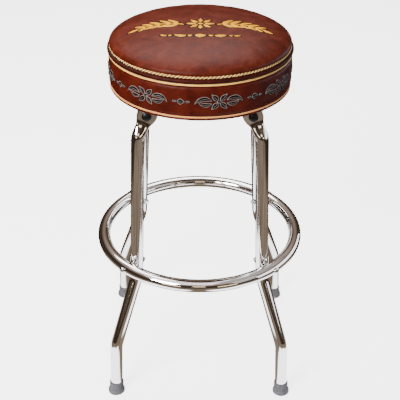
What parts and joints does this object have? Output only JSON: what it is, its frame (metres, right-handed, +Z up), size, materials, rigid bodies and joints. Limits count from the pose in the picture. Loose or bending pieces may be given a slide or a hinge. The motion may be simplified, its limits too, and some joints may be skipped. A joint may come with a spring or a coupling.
{
  "type": "bar stool",
  "caption": "Round padded swivel bar stool on splayed chromed tube legs with a foot ring.",
  "frame": {"origin": "on the floor under the middle of the seat and of the foot ring", "axes": "+Z up along the swivel's axis, -Y towards the pictured front, +X to its right"},
  "size_m": [0.4306, 0.4306, 0.762],
  "materials": {
    "chrome": "mirror-bright chrome plate over steel tube",
    "bolt_chrome": "chrome plated bolt",
    "zinc": "bright zinc plate",
    "ball_steel": "polished bearing balls",
    "black_steel": "black finished domed bolts",
    "painted_steel": "satin black paint on pressed steel",
    "cap_rubber": "dull grey rubber",
    "vinyl_brown": "semi-matt grained leathercloth",
    "vinyl_dark": "semi-matt grained leathercloth",
    "cord_gold": "gold trim cord",
    "cord_tan": "tan trim cord",
    "foam": "open-cell foam",
    "plywood": "bare plywood"
  },
  "bodies": {
    "base": {"leg_front_left": "chrome", "foot_cap_front_left": "cap_rubber", "leg_front_right": "chrome", "foot_cap_front_right": "cap_rubber", "leg_rear_left": "chrome", "foot_cap_rear_left": "cap_rubber", "leg_rear_right": "chrome", "foot_cap_rear_right": "cap_rubber", "foot_ring": "chrome", "ring_bolt_front_left": "bolt_chrome", "ring_nut_front_left": "zinc", "leg_bolt_front_left": "black_steel", "leg_nut_front_left": "zinc", "ring_bolt_front_right": "bolt_chrome", "ring_nut_front_right": "zinc", "leg_bolt_front_right": "black_steel", "leg_nut_front_right": "zinc", "ring_bolt_rear_left": "bolt_chrome", "ring_nut_rear_left": "zinc", "leg_bolt_rear_left": "black_steel", "leg_nut_rear_left": "zinc", "ring_bolt_rear_right": "bolt_chrome", "ring_nut_rear_right": "zinc", "leg_bolt_rear_right": "black_steel", "leg_nut_rear_right": "zinc", "leg_bracket": "painted_steel", "swivel_rivet": "zinc"},
    "ball_cage": {"ball_cage": "zinc", "bearing_ball_01": "ball_steel", "bearing_ball_02": "ball_steel", "bearing_ball_03": "ball_steel", "bearing_ball_04": "ball_steel", "bearing_ball_05": "ball_steel", "bearing_ball_06": "ball_steel", "bearing_ball_07": "ball_steel", "bearing_ball_08": "ball_steel", "bearing_ball_09": "ball_steel", "bearing_ball_10": "ball_steel", "bearing_ball_11": "ball_steel", "bearing_ball_12": "ball_steel"},
    "seat": {"swivel_upper_plate": "zinc", "seat_screw_front_left": "zinc", "tee_nut_front_left": "zinc", "seat_screw_front_right": "zinc", "tee_nut_front_right": "zinc", "seat_screw_rear_left": "zinc", "tee_nut_rear_left": "zinc", "seat_screw_rear_right": "zinc", "tee_nut_rear_right": "zinc", "seat_board": "plywood", "seat_foam": "foam", "side_band": "vinyl_dark", "upper_strip": "vinyl_dark", "top_cover": "vinyl_brown", "cord_lower": "cord_tan", "cord_middle": "cord_gold", "cord_upper": "cord_gold"}
  },
  "joints": [
    {"name": "seat_swivel", "type": "hinge", "parent": "base", "child": "seat", "pos_m": [0, 0, 0.6372], "axis": [0, 0, 1], "continuous": true},
    {"name": "cage_spin", "type": "hinge", "parent": "base", "child": "ball_cage", "pos_m": [0, 0, 0.6372], "axis": [0, 0, 1], "continuous": true}
  ],
  "couplings": [
    {"joint": "cage_spin", "follows": "seat_swivel", "ratio": 0.5}
  ]
}
